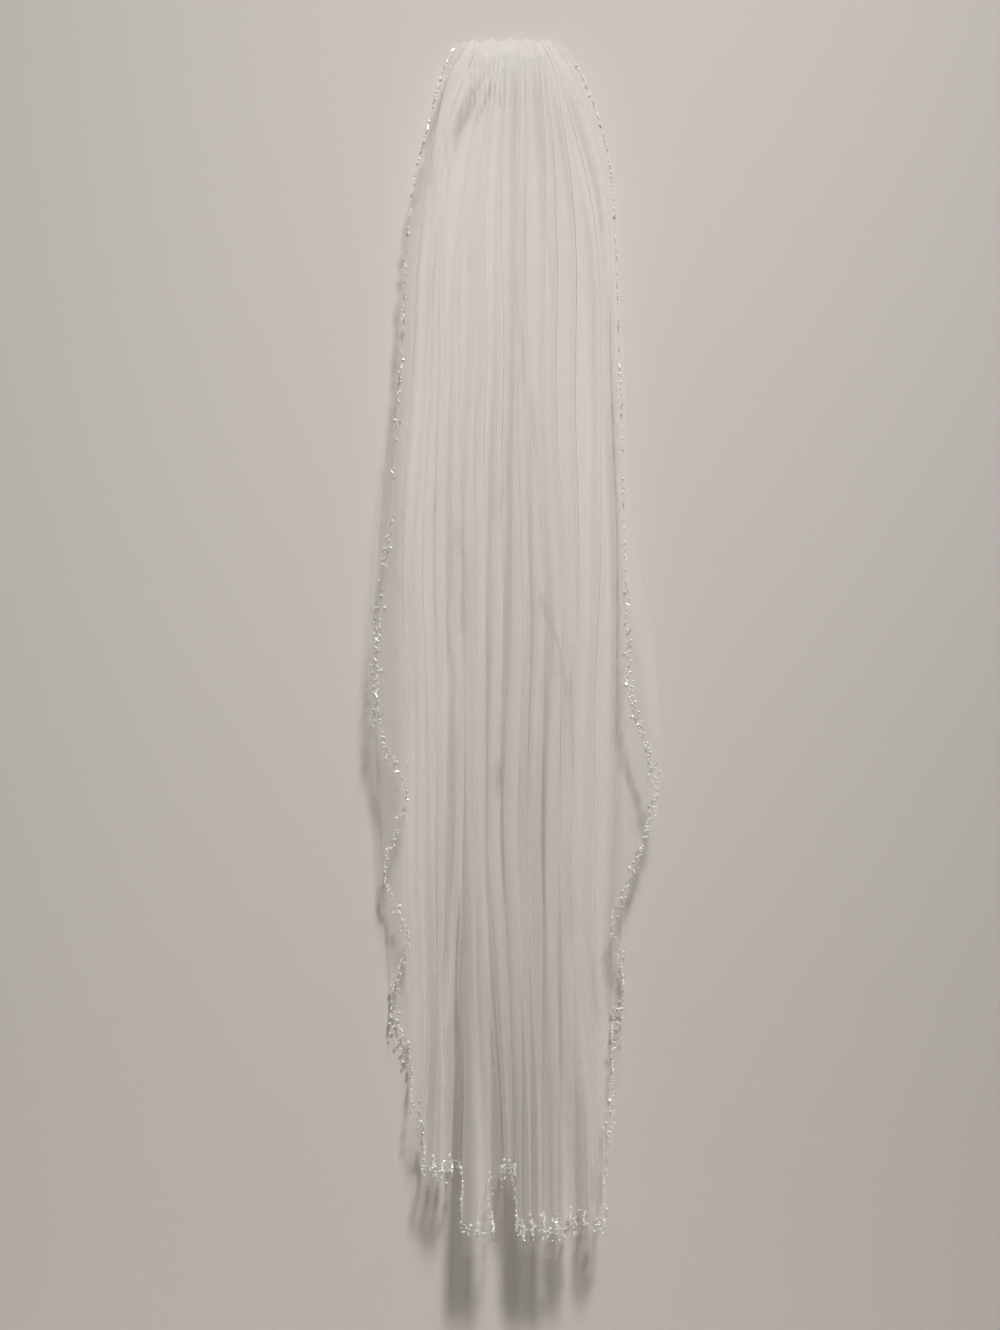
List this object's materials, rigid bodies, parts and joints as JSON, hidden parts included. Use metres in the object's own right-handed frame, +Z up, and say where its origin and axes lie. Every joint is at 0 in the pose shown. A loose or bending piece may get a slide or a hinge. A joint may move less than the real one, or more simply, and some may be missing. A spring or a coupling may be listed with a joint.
{
  "type": "bridal veil on a wall hook",
  "caption": "Fingertip bridal veil of soft tulle with a beaded edge, gathered onto a hair comb and hung in narrow folds from a small wall hook.",
  "frame": {"origin": "middle of the wall hook's back face, on the wall that the veil hangs against", "axes": "+Z up, +Y into the wall, +X to the right as seen from the room; the veil hangs in front of the wall towards -Y"},
  "size_m": [0.2459, 0.0554, 1.0053],
  "materials": {
    "tulle": "sheer soft ivory net, matt with a faint sheen",
    "comb": "clear moulded plastic",
    "hook": "white satin paint",
    "beads": "silver-lined glass, bright",
    "thread": "fine white thread"
  },
  "bodies": {
    "root": {"tulle_panel": "tulle", "veil_comb": "comb", "wall_hook": "hook"}
  },
  "joints": []
}
